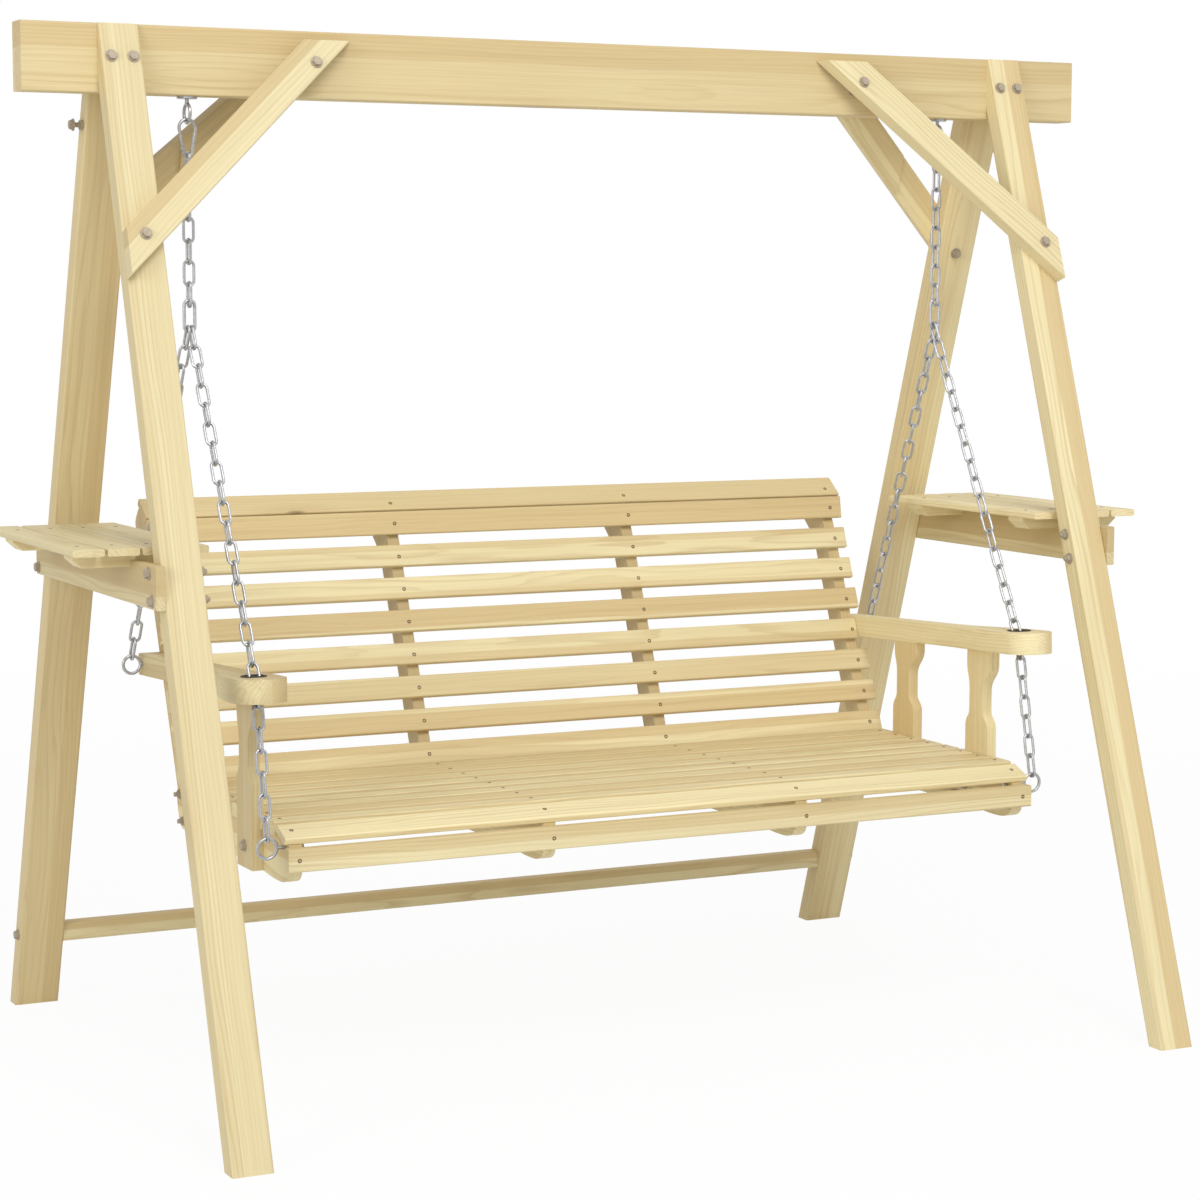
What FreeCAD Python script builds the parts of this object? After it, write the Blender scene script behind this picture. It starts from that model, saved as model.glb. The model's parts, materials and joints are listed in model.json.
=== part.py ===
import FreeCAD
import Part
import math
import os

# Stand: beam on two leaning leg pairs
BEAM_LENGTH = 2000.0
BEAM_HEIGHT = 110.0
BEAM_DEPTH = 48.0
STAND_HEIGHT = 1725.0
LEG_OUTER_X = 876.0
FRONT_LEG_WIDTH = 66.0
REAR_LEG_WIDTH = 80.0
LEG_THICKNESS = 36.0
LEG_TOP_Y = 30.0
LEG_FOOT_Y = 611.0
LEG_SCREW_X = (824.0, 860.5)
LEG_SCREW_Z = 1672.0
LEG_SCREW_GRIP = 48.0
BOARD_EASE = 3.0

# Braces between beam and legs
BRACE_WIDTH = 56.0
BRACE_THICKNESS = 28.0
BRACE_LEAN = 0.36
BRACE_TOP_Z = 1709.5
BRACE_TOP_X = 486.5
BRACE_FOOT_X = 843.0
BRACE_FOOT_Z = 1384.5
BRACE_HEAD_SCREW = (521.0, 1672.0)
BRACE_SCREW_GRIP = 58.0
BRACE_SCREW_BITE = 24.0
BRACE_EASE = 2.5
BRACE_SCARF_X = 700.0
FRONT_BRACE_BOLT = (846.0, 1390.5)
REAR_BRACE_BOLT = (836.0, 1393.0)
REAR_BRACE_END_X = 858.0

# Rear stretcher low between the rear legs
STRETCHER_Z = (120.0, 154.0)
STRETCHER_DEPTH = 28.0
STRETCHER_SCREW_GRIP = 130.0

# Studs standing out of the rear legs
STUD_Z = 1568.0
STUD_STAND_OFF = 15.0
STUD_COLLAR = 5.0
STUD_COLLAR_RADIUS = 8.0

# Side tables
RAIL_THICKNESS = 15.0
RAIL_Z = (815.0, 884.0)
RAIL_Y = (-334.0, 327.0)
RAIL_SCREW_Z = (828.0, 870.0)
RAIL_SCREW_GRIP = 65.0
TABLE_TOP_Z = 906.0
TABLE_SLAT_THICKNESS = 12.0
TABLE_SLAT_WIDTH = 51.0
TABLE_SLAT_GAP = 5.0
TABLE_SLAT_COUNT = 4
TABLE_INNER_X = 777.0
TABLE_Y = (-250.0, 240.0)
BATTEN_Y = (-185.0, 155.0)
BATTEN_WIDTH = 45.0
BATTEN_HEIGHT = 21.0
BATTEN_X = (780.0, 985.0)
BATTEN_BEVEL = 16.0
BATTEN_LIP = 7.0

# Bench
SLAT_LENGTH = 1402.0
SEAT_LENGTH = 1390.0
BACK_SLAT_THICKNESS = 14.0
SEAT_SLAT_THICKNESS = 22.0
NOSE_THICKNESS = 12.0
APRON_THICKNESS = 18.0
SEAT_TOP_Z = 470.0
SEAT_Y = (-308.5, 129.0)
SEAT_SLAT_COUNT = 8
SEAT_SLAT_GAP = 6.0
NOSE_TOP = (-319.0, 467.5)
NOSE_BOTTOM = (-360.0, 450.5)
APRON_Y = -373.5
APRON_Z = (398.5, 436.0)
BACK_FOOT = (135.5, 468.8)
BACK_SLOPE = 0.40
BACK_SLAT_PITCH = 56.8
BACK_SLAT_WIDTH = 40.0
BACK_SLAT_COUNT = 7
BACK_TOP_Z = 844.5
ROLL_SLAT = ((301.0, 903.5), (294.0, 862.0))
CAP_SLAT = ((345.0, 938.0), (304.5, 907.5))
CAP_GAP = 3.5
FRAME_THICKNESS = 22.0
END_FRAME_X = 666.0
MIDDLE_FRAME_X = 226.0
JOIST_BOTTOM_Z = 380.0
JOIST_BELLY = (-300.0, 375.0)
UPRIGHT_DEPTH = 45.0
HEAD_CREST = (392.0, 921.0)
HEAD_BACK = (407.0, 895.0)
LAP_BOLT_Z = (396.0, 440.0)
LAP_BOLT_SHIFT = 6.0
JOIST_HEEL = 20.0

# Arms and their posts
ARM_THICKNESS = 38.0
ARM_INNER_X = 688.0
ARM_OUTER_X = 726.0
ARM_REAR_Y = 282.0
ARM_RAKE = 2.6
ARM_HOLE = (720.0, -291.0)
ARM_HOLE_TOP_Z = 700.0
ARM_HOLE_RADIUS = 19.0
PADDLE_CENTRE_Y = -316.0
PADDLE_RADIUS = 43.0
PADDLE_FLARE = 110.0
PADDLE_START_Y = -70.0
ARM_REAR_EASE = 6.0
BUSH_DEPTH = 24.0
BUSH_WALL = 2.0
POST_THICKNESS = 20.0
POST_Y = (-211.0, 36.0)
POST_TOP_WIDTH = 74.0
POST_WAIST_WIDTH = 42.0
POST_WAIST_SHIFT = 7.0
POST_FOOT_WIDTH = 70.0
POST_FOOT_SHIFT = 5.0
POST_SHOULDER_Z = 636.0
POST_WAIST_Z = (550.0, 584.0)
POST_ANKLE_Z = 518.0
POST_BOLT_Z = 416.0

# Chains
CHAIN_X = 720.0
WIRE = 4.8
LINK_WIDTH = 21.5
LINK_PITCH = 34.85
LINK_PLAY = 0.3
UPPER_LINKS = 7
FRONT_LINKS = 18
FRONT_LOW_LINKS = 7
REAR_LINKS = 18
JUNCTION_WIRE = 5.5
JUNCTION_WIDTH = 23.5
JUNCTION_PITCH = 46.0
BRANCH_OFFSET = 2.75
EYE_WIRE = 5.5
EYE_RADIUS = 15.25
SEAT_EYE_RADIUS = 16.0
SEAT_EYE_Y = -340.0
SEAT_EYE_X = 718.5
ARM_EYE_X = 746.0
ARM_EYE_Z = 657.0
BEND_Y = -293.0
HOOK_WIRE = 5.5
HOOK_TOP_RADIUS = 13.75
HOOK_FOOT_RADIUS = 7.0
HOOK_SPAN = 59.5
EYE_FLANGE_RADIUS = 16.5
EYE_DROP = 27.5
EYE_FLANGE = 4.0
BEAM_EYE_BITE = 60.0
EYE_SHANK_RADIUS = 3.0
EYE_PILOT_RADIUS = 3.3
EYE_BITE = 30.0

# Bolts
BOLT_RADIUS = 4.0
BOLT_HOLE_RADIUS = 4.4
HEAD_FLATS = 13.0
HEAD_HEIGHT = 5.5
WASHER_RADIUS = 10.0
WASHER_THICKNESS = 1.8
THREAD_END = 6.0

ORIGIN = FreeCAD.Vector(0, 0, 0)
X_AXIS = FreeCAD.Vector(1, 0, 0)
Y_AXIS = FreeCAD.Vector(0, 1, 0)
Z_AXIS = FreeCAD.Vector(0, 0, 1)
BEAM_BOTTOM_Z = STAND_HEIGHT - BEAM_HEIGHT
BEAM_FACE_Y = BEAM_DEPTH / 2
LEG_SLOPE = (LEG_FOOT_Y - LEG_TOP_Y) / STAND_HEIGHT
LEG_LEAN = math.atan(LEG_SLOPE)
BACK_LEAN = math.atan(BACK_SLOPE)


def vec(x, y, z):
    return FreeCAD.Vector(x, y, z)


def block(x0, x1, y0, y1, z0, z1):
    return Part.makeBox(x1 - x0, y1 - y0, z1 - z0, vec(x0, y0, z0))


def rod(start, end, radius):
    return Part.makeCylinder(radius, (end - start).Length, start, end - start)


def side_plate(outline, x0, x1):
    points = [vec(x0, y, z) for y, z in outline]
    face = Part.Face(Part.makePolygon(points + points[:1]))
    return face.extrude(vec(x1 - x0, 0, 0))


def side_line(start, end):
    return Part.LineSegment(vec(0, start[0], start[1]), vec(0, end[0], end[1])).toShape()


def side_curve(poles):
    curve = Part.BezierCurve()
    curve.setPoles([vec(0, y, z) for y, z in poles])
    return curve.toShape()


def side_board(edges, x0, x1):
    face = Part.Face(Part.Wire(Part.__sortEdges__(edges)))
    face.translate(vec(x0, 0, 0))
    return face.extrude(vec(x1 - x0, 0, 0))


def mirror_x(shape):
    return shape.mirror(ORIGIN, X_AXIS)


def mirror_y(shape):
    return shape.mirror(ORIGIN, Y_AXIS)


def long_edges(solid, direction):
    found = []
    for edge in solid.Edges:
        if len(edge.Vertexes) != 2:
            continue
        along = edge.Vertexes[1].Point - edge.Vertexes[0].Point
        if along.Length > 40 and abs(along.normalize().dot(direction)) > 0.9999:
            found.append(edge)
    return found


def ease(solid, direction, radius):
    return solid.makeFillet(radius, long_edges(solid, direction))


def hexagon(centre, axis, flats, height):
    turn = FreeCAD.Rotation(Z_AXIS, axis)
    corner = flats / math.sqrt(3)
    points = []
    for step in range(7):
        angle = math.radians(60 * step)
        spoke = vec(corner * math.cos(angle), corner * math.sin(angle), 0)
        points.append(centre + turn.multVec(spoke))
    return Part.Face(Part.makePolygon(points)).extrude(axis * height)


def bolt(seat, axis, grip, nut):
    axis = vec(axis.x, axis.y, axis.z).normalize()
    washer = rod(seat - axis * WASHER_THICKNESS, seat, WASHER_RADIUS)
    head = hexagon(seat - axis * (WASHER_THICKNESS + HEAD_HEIGHT), axis, HEAD_FLATS, HEAD_HEIGHT)
    shank_end = seat + axis * grip
    parts = [washer, head]
    if nut:
        shank_end = shank_end + axis * (WASHER_THICKNESS + HEAD_HEIGHT + THREAD_END)
        parts.append(rod(seat + axis * grip, seat + axis * (grip + WASHER_THICKNESS), WASHER_RADIUS))
        nut_seat = seat + axis * (grip + WASHER_THICKNESS)
        parts.append(hexagon(nut_seat, axis, HEAD_FLATS, HEAD_HEIGHT))
    shank = rod(seat - axis * WASHER_THICKNESS, shank_end, BOLT_RADIUS)
    return shank.multiFuse(parts).removeSplitter()


def bolt_hole(seat, axis, grip):
    axis = vec(axis.x, axis.y, axis.z).normalize()
    return rod(seat - axis * 40, seat + axis * (grip + 1), BOLT_HOLE_RADIUS)


nodes = {}
stand_bolts = []
bench_bolts = []


def add_bolt(group, seat, axis, grip, nut, names):
    group.append(bolt(seat, axis, grip, nut))
    hole = bolt_hole(seat, axis, grip)
    for name in names:
        nodes[name] = nodes[name].cut(hole)


def leg_face_y(z):
    return LEG_TOP_Y + LEG_SLOPE * (STAND_HEIGHT - z)


def brace_face_y(z):
    return BEAM_FACE_Y + BRACE_LEAN * (BRACE_TOP_Z - z) + BRACE_THICKNESS / math.cos(math.atan(BRACE_LEAN))


# Top beam
beam = block(-BEAM_LENGTH / 2, BEAM_LENGTH / 2, -BEAM_FACE_Y, BEAM_FACE_Y, BEAM_BOTTOM_Z, STAND_HEIGHT)
nodes["top_beam"] = ease(beam, X_AXIS, BOARD_EASE)

# Legs lean against both faces of the beam, flush with its top
leg_run = LEG_THICKNESS / math.cos(LEG_LEAN)
leg_break_z = STAND_HEIGHT - (BEAM_FACE_Y + leg_run - LEG_TOP_Y) / LEG_SLOPE
leg_outline = [
    (LEG_FOOT_Y, 0),
    (LEG_TOP_Y, STAND_HEIGHT),
    (BEAM_FACE_Y, STAND_HEIGHT),
    (BEAM_FACE_Y, leg_break_z),
    (LEG_FOOT_Y - leg_run, 0),
]
leg_along = vec(0, -LEG_SLOPE, 1).normalize()
rear_leg = ease(side_plate(leg_outline, LEG_OUTER_X - REAR_LEG_WIDTH, LEG_OUTER_X), leg_along, BOARD_EASE)
front_leg = ease(side_plate(leg_outline, LEG_OUTER_X - FRONT_LEG_WIDTH, LEG_OUTER_X), leg_along, BOARD_EASE)
nodes["right_front_leg"] = mirror_y(front_leg)
nodes["left_front_leg"] = mirror_x(mirror_y(front_leg))
nodes["right_rear_leg"] = rear_leg
nodes["left_rear_leg"] = mirror_x(rear_leg)

# Braces: leaning boards, square on top, scarfed where they bear on the leg
brace_lean = math.atan(BRACE_LEAN)
brace_up = vec(0, -math.sin(brace_lean), math.cos(brace_lean))
brace_out = vec(0, math.cos(brace_lean), math.sin(brace_lean))
brace_foot_y = BEAM_FACE_Y + BRACE_LEAN * (BRACE_TOP_Z - BRACE_FOOT_Z)
brace_foot = vec(BRACE_FOOT_X, brace_foot_y, BRACE_FOOT_Z)
brace_top = vec(BRACE_TOP_X, BEAM_FACE_Y, BRACE_TOP_Z)
brace_along = (brace_top - brace_foot).normalize()
brace_side = brace_along.cross(brace_out)
brace_corners = []
for along, side in ((-160, -1), (560, -1), (560, 1), (-160, 1), (-160, -1)):
    brace_corners.append(brace_foot + brace_along * along + brace_side * (side * BRACE_WIDTH / 2))
brace = Part.Face(Part.makePolygon(brace_corners)).extrude(brace_out * BRACE_THICKNESS)
brace = ease(brace, brace_along, BRACE_EASE)
brace = brace.common(block(0, LEG_OUTER_X, 0, 400, 1000, BRACE_TOP_Z))
leg_front = [(0, 0), (LEG_FOOT_Y, 0), (LEG_TOP_Y, STAND_HEIGHT), (0, STAND_HEIGHT)]
brace = brace.cut(side_plate(leg_front, BRACE_SCARF_X, LEG_OUTER_X))
rear_brace = brace.common(block(0, REAR_BRACE_END_X, 0, 400, 1000, BRACE_TOP_Z))
nodes["right_rear_brace"] = rear_brace
nodes["left_rear_brace"] = mirror_x(rear_brace)
nodes["right_front_brace"] = mirror_y(brace)
nodes["left_front_brace"] = mirror_x(mirror_y(brace))

# Rear stretcher between the rear legs
stretcher_mid_z = sum(STRETCHER_Z) / 2
stretcher_mid_y = leg_face_y(stretcher_mid_z) - leg_run / 2
stretcher_end = LEG_OUTER_X - REAR_LEG_WIDTH
stretcher = block(-stretcher_end, stretcher_end, stretcher_mid_y - STRETCHER_DEPTH / 2,
                  stretcher_mid_y + STRETCHER_DEPTH / 2, STRETCHER_Z[0], STRETCHER_Z[1])
nodes["rear_stretcher"] = ease(stretcher, X_AXIS, BOARD_EASE)

# Side tables: rail across the legs, two battens let into it, slats on top
batten_z = (TABLE_TOP_Z - TABLE_SLAT_THICKNESS - BATTEN_HEIGHT, TABLE_TOP_Z - TABLE_SLAT_THICKNESS)
rail_outer_x = LEG_OUTER_X + RAIL_THICKNESS
rail = block(LEG_OUTER_X, rail_outer_x, RAIL_Y[0], RAIL_Y[1], RAIL_Z[0], RAIL_Z[1])
rail = ease(rail, Y_AXIS, BRACE_EASE)
battens = []
for y in BATTEN_Y:
    outline = [
        (BATTEN_X[0], batten_z[1]),
        (BATTEN_X[1], batten_z[1]),
        (BATTEN_X[1], batten_z[1] - BATTEN_LIP),
        (BATTEN_X[1] - BATTEN_BEVEL, batten_z[0]),
        (BATTEN_X[0] + BATTEN_BEVEL, batten_z[0]),
        (BATTEN_X[0], batten_z[1] - BATTEN_LIP),
    ]
    points = [vec(x, y - BATTEN_WIDTH / 2, z) for x, z in outline]
    face = Part.Face(Part.makePolygon(points + points[:1]))
    batten = face.extrude(vec(0, BATTEN_WIDTH, 0))
    battens.append(batten)
    rail = rail.cut(block(LEG_OUTER_X - 5, rail_outer_x + 5, y - BATTEN_WIDTH / 2 - 0.5,
                          y + BATTEN_WIDTH / 2 + 0.5, batten_z[0], TABLE_TOP_Z))
table_slats = []
for index in range(TABLE_SLAT_COUNT):
    x = TABLE_INNER_X + index * (TABLE_SLAT_WIDTH + TABLE_SLAT_GAP)
    slat = block(x, x + TABLE_SLAT_WIDTH, TABLE_Y[0], TABLE_Y[1], batten_z[1], TABLE_TOP_Z)
    table_slats.append(ease(slat, Y_AXIS, BOARD_EASE))
nodes["right_table_rail"] = rail
nodes["left_table_rail"] = mirror_x(rail)
nodes["table_battens"] = Part.makeCompound(battens + [mirror_x(piece) for piece in battens])
nodes["right_table_slats"] = Part.makeCompound(table_slats)
nodes["left_table_slats"] = Part.makeCompound([mirror_x(piece) for piece in table_slats])

# Fasteners of the stand
for side_name, side in (("left", -1), ("right", 1)):
    for end_name, end in (("front", -1), ("rear", 1)):
        leg_name = side_name + "_" + end_name + "_leg"
        brace_name = side_name + "_" + end_name + "_brace"
        leg_in = vec(0, -end * math.cos(LEG_LEAN), -math.sin(LEG_LEAN))
        for x in LEG_SCREW_X:
            seat = vec(side * x, end * leg_face_y(LEG_SCREW_Z), LEG_SCREW_Z)
            add_bolt(stand_bolts, seat, leg_in, LEG_SCREW_GRIP, False, (leg_name, "top_beam"))
        brace_in = vec(0, -end * brace_out.y, -brace_out.z)
        seat = vec(side * BRACE_HEAD_SCREW[0], end * brace_face_y(BRACE_HEAD_SCREW[1]), BRACE_HEAD_SCREW[1])
        add_bolt(stand_bolts, seat, brace_in, BRACE_SCREW_GRIP, False, (brace_name, "top_beam"))
        bolt_x, bolt_z = FRONT_BRACE_BOLT if end < 0 else REAR_BRACE_BOLT
        seat = vec(side * bolt_x, end * brace_face_y(bolt_z), bolt_z)
        leg_depth = (brace_face_y(bolt_z) - leg_face_y(bolt_z)) * math.cos(LEG_LEAN)
        coach_screw = side < 0 < end
        grip = leg_depth + (BRACE_SCREW_BITE if coach_screw else LEG_THICKNESS + 0.6)
        add_bolt(stand_bolts, seat, brace_in, grip, not coach_screw, (brace_name, leg_name))
        for z in RAIL_SCREW_Z:
            seat = vec(side * rail_outer_x, end * (leg_face_y(z) - leg_run / 2), z)
            rail_pair = (leg_name, side_name + "_table_rail")
            add_bolt(stand_bolts, seat, X_AXIS * -side, RAIL_SCREW_GRIP, False, rail_pair)
    rear_name = side_name + "_rear_leg"
    seat = vec(side * LEG_OUTER_X, stretcher_mid_y, stretcher_mid_z)
    add_bolt(stand_bolts, seat, X_AXIS * -side, STRETCHER_SCREW_GRIP, False, (rear_name, "rear_stretcher"))
    stud_y = leg_face_y(STUD_Z) - leg_run / 2
    tip = vec(side * (LEG_OUTER_X + STUD_STAND_OFF), stud_y, STUD_Z)
    add_bolt(stand_bolts, tip, X_AXIS * -side, STUD_STAND_OFF + REAR_LEG_WIDTH, True, (rear_name,))
    collar = rod(vec(side * LEG_OUTER_X, stud_y, STUD_Z),
                 vec(side * (LEG_OUTER_X + STUD_COLLAR), stud_y, STUD_Z), STUD_COLLAR_RADIUS)
    stand_bolts[-1] = stand_bolts[-1].fuse(collar).removeSplitter()
nodes["stand_bolts"] = Part.makeCompound(stand_bolts)


# Bench frames: joist and upright half-lapped side by side
def back_face_y(z):
    return BACK_FOOT[0] + BACK_SLOPE * (z - BACK_FOOT[1])


upright_front = BACK_SLAT_THICKNESS / math.cos(BACK_LEAN)
upright_run = UPRIGHT_DEPTH / math.cos(BACK_LEAN)
joist_top_z = SEAT_TOP_Z - SEAT_SLAT_THICKNESS


def upright_y(z):
    return back_face_y(z) + upright_front


def behind(slat, index):
    along_y = slat[0][0] - slat[1][0]
    along_z = slat[0][1] - slat[1][1]
    length = math.hypot(along_y, along_z)
    depth = BACK_SLAT_THICKNESS / length
    return (slat[index][0] + along_z * depth, slat[index][1] - along_y * depth)


roll_foot = behind(ROLL_SLAT, 1)
roll_head = behind(ROLL_SLAT, 0)
cap_foot = behind(CAP_SLAT, 1)
cap_head = behind(CAP_SLAT, 0)
knee_share = (cap_foot[1] - roll_foot[1]) / (roll_head[1] - roll_foot[1])
knee = (roll_foot[0] + knee_share * (roll_head[0] - roll_foot[0]), cap_foot[1])
back_low = (upright_y(JOIST_BOTTOM_Z) + upright_run, JOIST_BOTTOM_Z)
back_high = (upright_y(800) + upright_run, 800)
front_low = (upright_y(JOIST_BOTTOM_Z), JOIST_BOTTOM_Z)
front_high = (upright_y(roll_foot[1] - 8), roll_foot[1] - 8)
swell = (back_high[0] + 50 * BACK_SLOPE, back_high[1] + 50)
upright_edges = [
    side_line(front_low, front_high),
    side_line(front_high, roll_foot),
    side_line(roll_foot, knee),
    side_line(knee, cap_head),
    side_curve([cap_head, (cap_head[0] + 14, cap_head[1] + 4), HEAD_CREST, HEAD_BACK]),
    side_curve([HEAD_BACK, (HEAD_BACK[0] + 9, HEAD_BACK[1] - 28), swell, back_high]),
    side_line(back_high, back_low),
    side_line(back_low, front_low),
]
nose_along = (NOSE_TOP[0] - NOSE_BOTTOM[0], NOSE_TOP[1] - NOSE_BOTTOM[1])
nose_length = math.hypot(nose_along[0], nose_along[1])
nose_depth = NOSE_THICKNESS / nose_length
nose_in = (nose_along[1] * nose_depth, -nose_along[0] * nose_depth)
joist_front_y = APRON_Y + APRON_THICKNESS
nose_slope = nose_along[1] / nose_along[0]
nose_base = (NOSE_BOTTOM[0] + nose_in[0], NOSE_BOTTOM[1] + nose_in[1])
bevel_low = (joist_front_y, nose_base[1] + nose_slope * (joist_front_y - nose_base[0]))
bevel_high = (SEAT_Y[0], nose_base[1] + nose_slope * (SEAT_Y[0] - nose_base[0]))
joist_rear = (upright_y(joist_top_z) + upright_run, joist_top_z)
belly_y, belly_z = JOIST_BELLY
belly_start = (belly_y + 90, JOIST_BOTTOM_Z)
joist_nose = (joist_front_y, JOIST_BOTTOM_Z + 22)
joist_heel = (back_low[0] + JOIST_HEEL, JOIST_BOTTOM_Z)
joist_edges = [
    side_curve([back_low, joist_heel, (joist_rear[0] + JOIST_HEEL / 2, joist_top_z - 24), joist_rear]),
    side_line(joist_rear, (SEAT_Y[0], joist_top_z)),
    side_line((SEAT_Y[0], joist_top_z), bevel_high),
    side_line(bevel_high, bevel_low),
    side_line(bevel_low, joist_nose),
    side_curve([joist_nose, (joist_front_y, belly_z), (belly_y - 24, belly_z), JOIST_BELLY]),
    side_curve([JOIST_BELLY, (belly_y + 40, belly_z), (belly_y + 50, JOIST_BOTTOM_Z), belly_start]),
    side_line(belly_start, back_low),
]
for frame_name, x0 in (("end", END_FRAME_X), ("middle", MIDDLE_FRAME_X)):
    x1 = x0 + FRAME_THICKNESS
    lap_x = x0 + FRAME_THICKNESS / 2
    tenon = side_board(upright_edges, x0 - 1, lap_x)
    upright = side_board(upright_edges, x0, x1)
    upright = upright.cut(block(lap_x, x1 + 1, 0, 500, 300, joist_top_z))
    joist = side_board(joist_edges, x0, x1).cut(tenon)
    nodes["right_" + frame_name + "_joist"] = joist
    nodes["right_" + frame_name + "_upright"] = upright
    nodes["left_" + frame_name + "_joist"] = mirror_x(joist)
    nodes["left_" + frame_name + "_upright"] = mirror_x(upright)
    for side_name, side in (("left", -1), ("right", 1)):
        pair = (side_name + "_" + frame_name + "_joist", side_name + "_" + frame_name + "_upright")
        for z in LAP_BOLT_Z:
            seat = vec(side * x0, upright_y(z) + upright_run / 2 + LAP_BOLT_SHIFT, z)
            add_bolt(bench_bolts, seat, X_AXIS * side, FRAME_THICKNESS, True, pair)


# Slats: rounded boards along X, given by the two edges of their outer face
def slat_board(upper, lower, thickness, half_length):
    along_y = upper[0] - lower[0]
    along_z = upper[1] - lower[1]
    length = math.hypot(along_y, along_z)
    in_y = along_z / length * thickness
    in_z = -along_y / length * thickness
    outline = [upper, lower, (lower[0] + in_y, lower[1] + in_z), (upper[0] + in_y, upper[1] + in_z)]
    return ease(side_plate(outline, -half_length, half_length), X_AXIS, BOARD_EASE)


half_slat = SLAT_LENGTH / 2
half_seat = SEAT_LENGTH / 2
post_x = (END_FRAME_X + FRAME_THICKNESS, END_FRAME_X + FRAME_THICKNESS + POST_THICKNESS)
post_slots = []
for y in POST_Y:
    reach = POST_FOOT_WIDTH / 2 + 1
    foot_y = y + POST_FOOT_SHIFT
    slot = block(post_x[0] - 1, half_slat + 1, foot_y - reach, foot_y + reach, JOIST_BOTTOM_Z, SEAT_TOP_Z + 1)
    post_slots.append(slot)
    post_slots.append(mirror_x(slot))
seat_span = SEAT_Y[1] - SEAT_Y[0]
seat_width = (seat_span - SEAT_SLAT_GAP * (SEAT_SLAT_COUNT - 1)) / SEAT_SLAT_COUNT
seat_slats = []
for index in range(SEAT_SLAT_COUNT):
    y = SEAT_Y[0] + index * (seat_width + SEAT_SLAT_GAP)
    slat = slat_board((y + seat_width, SEAT_TOP_Z), (y, SEAT_TOP_Z), SEAT_SLAT_THICKNESS, half_seat)
    seat_slats.append(slat.cut(Part.makeCompound(post_slots)))
nodes["seat_slats"] = Part.makeCompound(seat_slats)
nodes["seat_nose_slat"] = slat_board(NOSE_TOP, NOSE_BOTTOM, NOSE_THICKNESS, half_seat)
apron_edges = ((APRON_Y, APRON_Z[1]), (APRON_Y, APRON_Z[0]))
nodes["seat_apron"] = slat_board(apron_edges[0], apron_edges[1], APRON_THICKNESS, half_seat)

slat_drop = BACK_SLAT_WIDTH * math.cos(BACK_LEAN)
for index in range(BACK_SLAT_COUNT):
    top_z = BACK_TOP_Z - index * BACK_SLAT_PITCH
    upper = (back_face_y(top_z), top_z)
    lower = (back_face_y(top_z - slat_drop), top_z - slat_drop)
    meets_arm = index == 3
    reach = ARM_INNER_X - 1 if meets_arm else half_slat
    nodes["back_slat_" + str(index + 3)] = slat_board(upper, lower, BACK_SLAT_THICKNESS, reach)
cap_slat = slat_board(CAP_SLAT[0], CAP_SLAT[1], BACK_SLAT_THICKNESS, half_slat)
roll_slat = slat_board(ROLL_SLAT[0], ROLL_SLAT[1], BACK_SLAT_THICKNESS, half_slat)
cap_along = (CAP_SLAT[0][0] - CAP_SLAT[1][0], CAP_SLAT[0][1] - CAP_SLAT[1][1])
gap_share = CAP_GAP / math.hypot(cap_along[0], cap_along[1])
gap_foot = (cap_foot[0] - cap_along[0] * gap_share, cap_foot[1] - cap_along[1] * gap_share)
gap_mouth = (CAP_SLAT[1][0] - cap_along[0] * gap_share, CAP_SLAT[1][1] - cap_along[1] * gap_share)
mitre_outline = [gap_foot, gap_mouth, (gap_foot[0], gap_mouth[1] + 20), (gap_foot[0] + 40, gap_foot[1])]
roll_mitre = side_plate(mitre_outline, -half_slat - 1, half_slat + 1)
nodes["back_slat_2"] = roll_slat.cut(roll_mitre)
nodes["back_slat_1"] = cap_slat


# Arms: raked boards, narrow behind and round in front
def arm_rake(shape):
    turned = shape.copy()
    turned.rotate(vec(0, ARM_HOLE[1], ARM_HOLE_TOP_Z), X_AXIS, -ARM_RAKE)
    return turned


def arm_underside_z(y):
    slope = math.tan(math.radians(ARM_RAKE))
    return ARM_HOLE_TOP_Z - ARM_THICKNESS / math.cos(math.radians(ARM_RAKE)) - slope * (y - ARM_HOLE[1])


def flat_curve(points):
    curve = Part.BezierCurve()
    curve.setPoles(points)
    return curve.toShape()


arm_z = ARM_HOLE_TOP_Z - ARM_THICKNESS
inner_rear = vec(ARM_INNER_X, ARM_REAR_Y, arm_z)
inner_mid = vec(ARM_INNER_X, PADDLE_START_Y, arm_z)
inner_front = vec(ARM_HOLE[0] - PADDLE_RADIUS, PADDLE_CENTRE_Y, arm_z)
outer_front = vec(ARM_HOLE[0] + PADDLE_RADIUS, PADDLE_CENTRE_Y, arm_z)
outer_mid = vec(ARM_OUTER_X, PADDLE_START_Y, arm_z)
outer_rear = vec(ARM_OUTER_X, ARM_REAR_Y, arm_z)
tip = vec(ARM_HOLE[0], PADDLE_CENTRE_Y - PADDLE_RADIUS, arm_z)
flare = vec(0, PADDLE_FLARE, 0)
arm_edges = [
    Part.LineSegment(inner_rear, inner_mid).toShape(),
    flat_curve([inner_mid, inner_mid - flare, inner_front + flare, inner_front]),
    Part.Arc(inner_front, tip, outer_front).toShape(),
    flat_curve([outer_front, outer_front + flare, outer_mid - flare, outer_mid]),
    Part.LineSegment(outer_mid, outer_rear).toShape(),
    Part.LineSegment(outer_rear, inner_rear).toShape(),
]
arm = Part.Face(Part.Wire(arm_edges)).extrude(vec(0, 0, ARM_THICKNESS))
rear_top = []
for edge in arm.Edges:
    middle = edge.CenterOfMass
    if abs(middle.y - ARM_REAR_Y) < 0.01 and middle.z > ARM_HOLE_TOP_Z - 1:
        rear_top.append(edge)
arm = arm.makeFillet(ARM_REAR_EASE, rear_top)
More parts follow.
